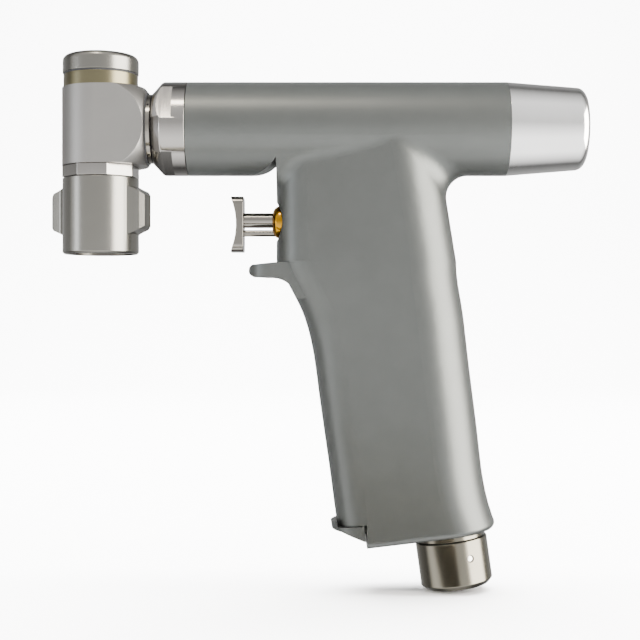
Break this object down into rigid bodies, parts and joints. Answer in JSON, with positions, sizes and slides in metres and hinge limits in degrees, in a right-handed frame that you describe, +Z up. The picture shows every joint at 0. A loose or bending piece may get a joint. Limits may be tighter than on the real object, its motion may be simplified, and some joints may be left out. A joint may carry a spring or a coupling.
{
  "type": "surgical oscillating saw",
  "caption": "Pistol-grip pneumatic oscillating saw with a T head, trigger, run and safe lever, blade release wings and a bare hose socket.",
  "frame": {"origin": "the middle of the grip, where the palm holds it", "axes": "+X from the head towards the rear cap along the barrel, +Z up from the hose connector to the barrel, Y across the grip"},
  "size_m": [0.1709, 0.0298, 0.1702],
  "materials": {
    "anodised_grey": "satin hard-anodised, fine bead blast",
    "polished_steel": "polished with a fine turned grain",
    "satin_steel": "satin, fine glass-bead finish",
    "bronze": "satin aluminium bronze",
    "gold_plate": "polished gold-coloured plating",
    "black_rubber": "matt",
    "bearing_steel": "ground and polished",
    "spring_steel": "drawn wire and strip",
    "tool_steel": "ground",
    "vane_polymer": "fibre-filled resin",
    "valve_aluminium": "machined"
  },
  "bodies": {
    "handle": {"handle_housing": "anodised_grey", "rear_cap": "polished_steel", "rear_cap_seal": "black_rubber", "neck_nut": "polished_steel", "index_ring": "polished_steel", "neck_seal": "black_rubber", "head_housing": "satin_steel", "head_ring": "bronze", "head_cap_seal": "black_rubber", "head_cap": "satin_steel", "bearing_retainer": "satin_steel", "sleeve_retaining_ring": "spring_steel", "lower_bearing_outer": "bearing_steel", "upper_bearing_outer": "bearing_steel", "crank_bearing_outer": "bearing_steel", "motor_front_bearing_outer": "bearing_steel", "motor_rear_bearing_outer": "bearing_steel", "motor_cylinder": "tool_steel", "motor_front_plate": "valve_aluminium", "motor_rear_plate": "valve_aluminium", "motor_spring": "spring_steel", "valve_body": "valve_aluminium", "valve_plug": "valve_aluminium", "valve_spring": "spring_steel", "trigger_bushing": "gold_plate", "trigger_washer": "tool_steel", "inlet_tube": "valve_aluminium", "exhaust_muffler": "bronze", "base_plate": "anodised_grey", "base_screws": "tool_steel", "hose_connector": "satin_steel", "connector_pins": "bearing_steel", "connector_seal": "black_rubber"},
    "rotor": {"rotor": "tool_steel", "rotor_vanes": "vane_polymer", "rotor_coupling": "tool_steel", "crankshaft": "tool_steel", "crank_bearing_inner": "bearing_steel", "motor_front_bearing_inner": "bearing_steel", "motor_rear_bearing_inner": "bearing_steel", "eccentric_roller": "bearing_steel"},
    "spindle": {"spindle": "tool_steel", "rocker_fork": "tool_steel", "lower_bearing_inner": "bearing_steel", "upper_bearing_inner": "bearing_steel", "clamp_spring": "spring_steel"},
    "clamp": {"clamp_drawbar": "tool_steel", "clamp_disc": "tool_steel", "drawbar_nut": "tool_steel", "release_pin": "tool_steel"},
    "wing_sleeve": {"wing_sleeve": "satin_steel", "cam_ring": "satin_steel"},
    "trigger": {"trigger_button": "polished_steel", "trigger_stem": "tool_steel", "trigger_guide_pin": "tool_steel", "valve_spool": "tool_steel"},
    "lever": {"safety_lever": "anodised_grey"}
  },
  "joints": [
    {"name": "rotor_turn", "type": "hinge", "parent": "handle", "child": "rotor", "pos_m": [0, 0, 0.077], "axis": [1, 0, 0], "range_deg": [-90, 90]},
    {"name": "spindle_swing", "type": "hinge", "parent": "handle", "child": "spindle", "pos_m": [-0.0931, 0, 0.077], "axis": [0, 0, 1], "range_deg": [-2.3, 2.3]},
    {"name": "sleeve_turn", "type": "hinge", "parent": "handle", "child": "wing_sleeve", "pos_m": [-0.0931, 0, 0.049], "axis": [0, 0, 1], "range_deg": [0, 60], "stiffness_Nm_per_rad": 0.08, "springref_deg": -17.19},
    {"name": "clamp_slide", "type": "slide", "parent": "spindle", "child": "clamp", "axis": [0, 0, -1], "range_m": [0, 0.002], "deforming": ["clamp_spring"]},
    {"name": "trigger_pull", "type": "slide", "parent": "handle", "child": "trigger", "axis": [1, 0, 0], "range_m": [0, 0.0065], "stiffness_N_per_m": 800, "springref_m": -0.002, "deforming": ["valve_spring"]},
    {"name": "lever_turn", "type": "hinge", "parent": "handle", "child": "lever", "pos_m": [0.0186, 0, -0.0519], "axis": [0.1392, 0, -0.9903], "range_deg": [0, 20]}
  ],
  "couplings": [
    {"joint": "spindle_swing", "follows": "rotor_turn", "ratio": -0.025472},
    {"joint": "clamp_slide", "follows": "sleeve_turn", "m_per_rad": 0.001909}
  ]
}
